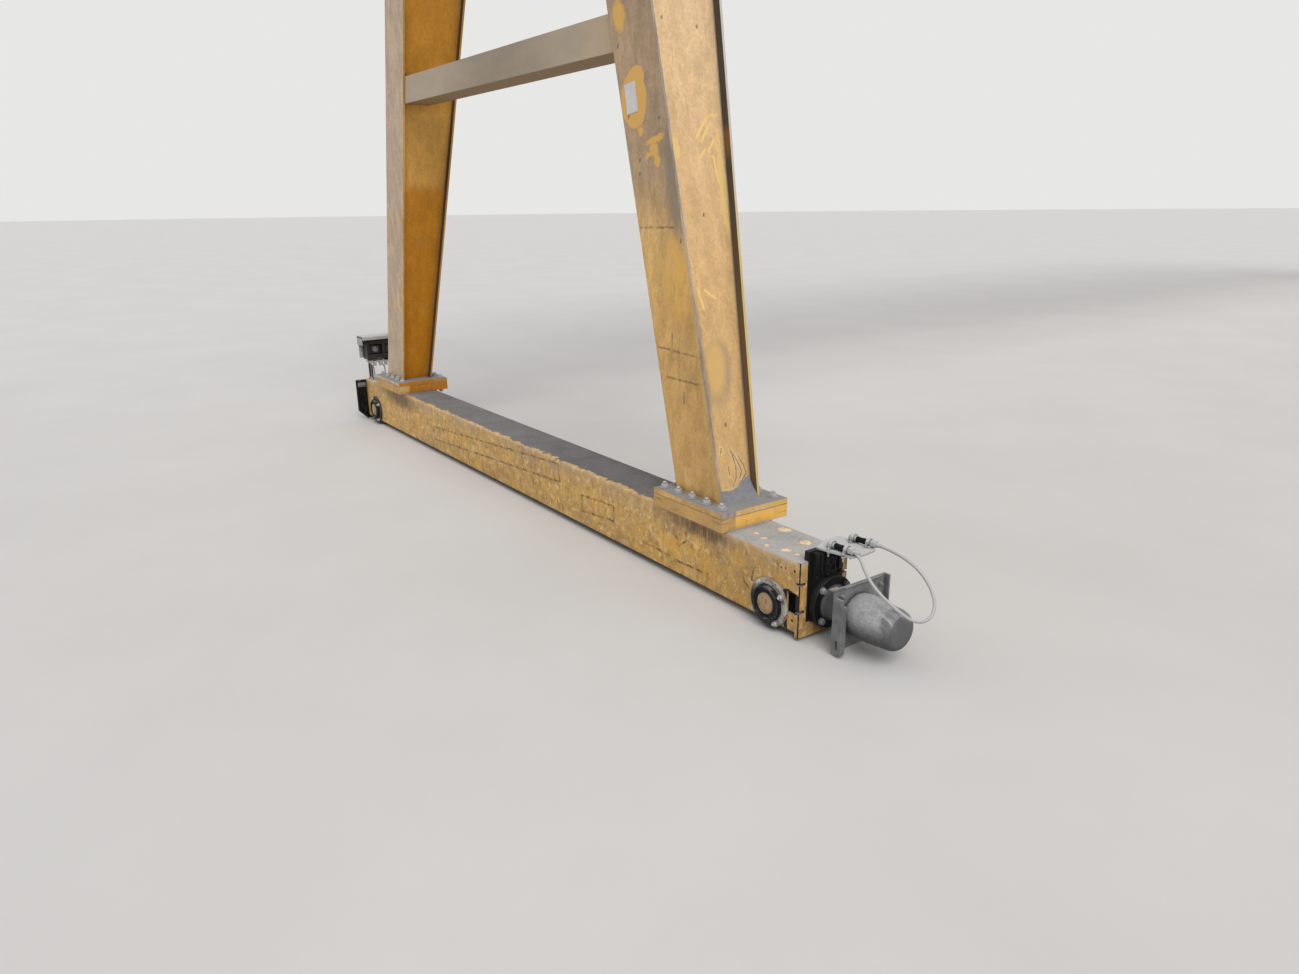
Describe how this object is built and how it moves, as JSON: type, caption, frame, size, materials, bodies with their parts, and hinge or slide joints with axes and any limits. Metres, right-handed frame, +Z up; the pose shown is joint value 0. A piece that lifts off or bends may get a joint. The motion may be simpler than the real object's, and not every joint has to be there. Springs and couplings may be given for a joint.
{
  "type": "gantry crane",
  "caption": "Gantry crane: A-shaped leg frames on wheeled sole beams with travel drives carry box girders and a hoist trolley with a hook.",
  "frame": {"origin": "centre of the crane's footprint on the floor", "axes": "+X along the travel direction towards the driven ends, +Y across the span, +Z up"},
  "size_m": [5.3411, 20.407, 7.052],
  "materials": {
    "beam_paint": "worn ochre paint under dust",
    "leg_paint": "worn yellow paint",
    "tie_paint": "dusty brown-grey paint",
    "flange_paint": "yellow paint, dusty on top",
    "girder_paint": "yellow paint",
    "wheel_steel": "rolled bright tread",
    "bearing_grey": "dusty casting",
    "gear_black": "satin black",
    "zinc": "zinc plated and dusty",
    "motor_grey": "grey paint under dust",
    "cable_grey": "dusty sheath",
    "rubber_black": "ribbed rubber",
    "sensor_black": "matt",
    "drum_steel": "grooved steel",
    "rope_steel": "greased wire rope",
    "hook_steel": "forged"
  },
  "bodies": {
    "crane": {"sole_beam_a": "beam_paint", "drive_leg_a": "leg_paint", "plain_leg_a": "leg_paint", "tie_beam_a": "tie_paint", "foot_flanges_a": "flange_paint", "bearings_a": "bearing_grey", "end_frame_a": "beam_paint", "gear_unit_a": "gear_black", "motor_bracket_a": "zinc", "motor_a": "motor_grey", "gland_plate_a": "zinc", "drive_cable_a": "cable_grey", "end_flap_a": "rubber_black", "sensor_box_a": "sensor_black", "sole_beam_b": "beam_paint", "drive_leg_b": "leg_paint", "plain_leg_b": "leg_paint", "tie_beam_b": "tie_paint", "foot_flanges_b": "flange_paint", "bearings_b": "bearing_grey", "end_frame_b": "beam_paint", "gear_unit_b": "gear_black", "motor_bracket_b": "zinc", "motor_b": "motor_grey", "gland_plate_b": "zinc", "drive_cable_b": "cable_grey", "end_flap_b": "rubber_black", "sensor_box_b": "sensor_black", "drive_side_girder": "girder_paint", "plain_side_girder": "girder_paint", "end_tie_a": "girder_paint", "end_tie_b": "girder_paint", "trolley_frame": "girder_paint", "trolley_wheels": "wheel_steel", "rope_drum": "drum_steel", "hoist_gear": "girder_paint", "hoist_motor": "motor_grey", "hoist_ropes": "rope_steel", "sheaves": "drum_steel", "hook_block": "girder_paint", "hook": "hook_steel"},
    "drive_wheel_a": {"drive_wheel_a": "wheel_steel"},
    "plain_wheel_a": {"plain_wheel_a": "wheel_steel"},
    "drive_wheel_b": {"drive_wheel_b": "wheel_steel"},
    "plain_wheel_b": {"plain_wheel_b": "wheel_steel"}
  },
  "joints": [
    {"name": "drive_wheel_a_turn", "type": "hinge", "parent": "crane", "child": "drive_wheel_a", "pos_m": [2.0885, -10, 0.115], "axis": [0, 1, 0], "continuous": true},
    {"name": "plain_wheel_a_turn", "type": "hinge", "parent": "crane", "child": "plain_wheel_a", "pos_m": [-2.3865, -10, 0.115], "axis": [0, 1, 0], "continuous": true},
    {"name": "drive_wheel_b_turn", "type": "hinge", "parent": "crane", "child": "drive_wheel_b", "pos_m": [2.0885, 10, 0.115], "axis": [0, 1, 0], "continuous": true},
    {"name": "plain_wheel_b_turn", "type": "hinge", "parent": "crane", "child": "plain_wheel_b", "pos_m": [-2.3865, 10, 0.115], "axis": [0, 1, 0], "continuous": true}
  ]
}
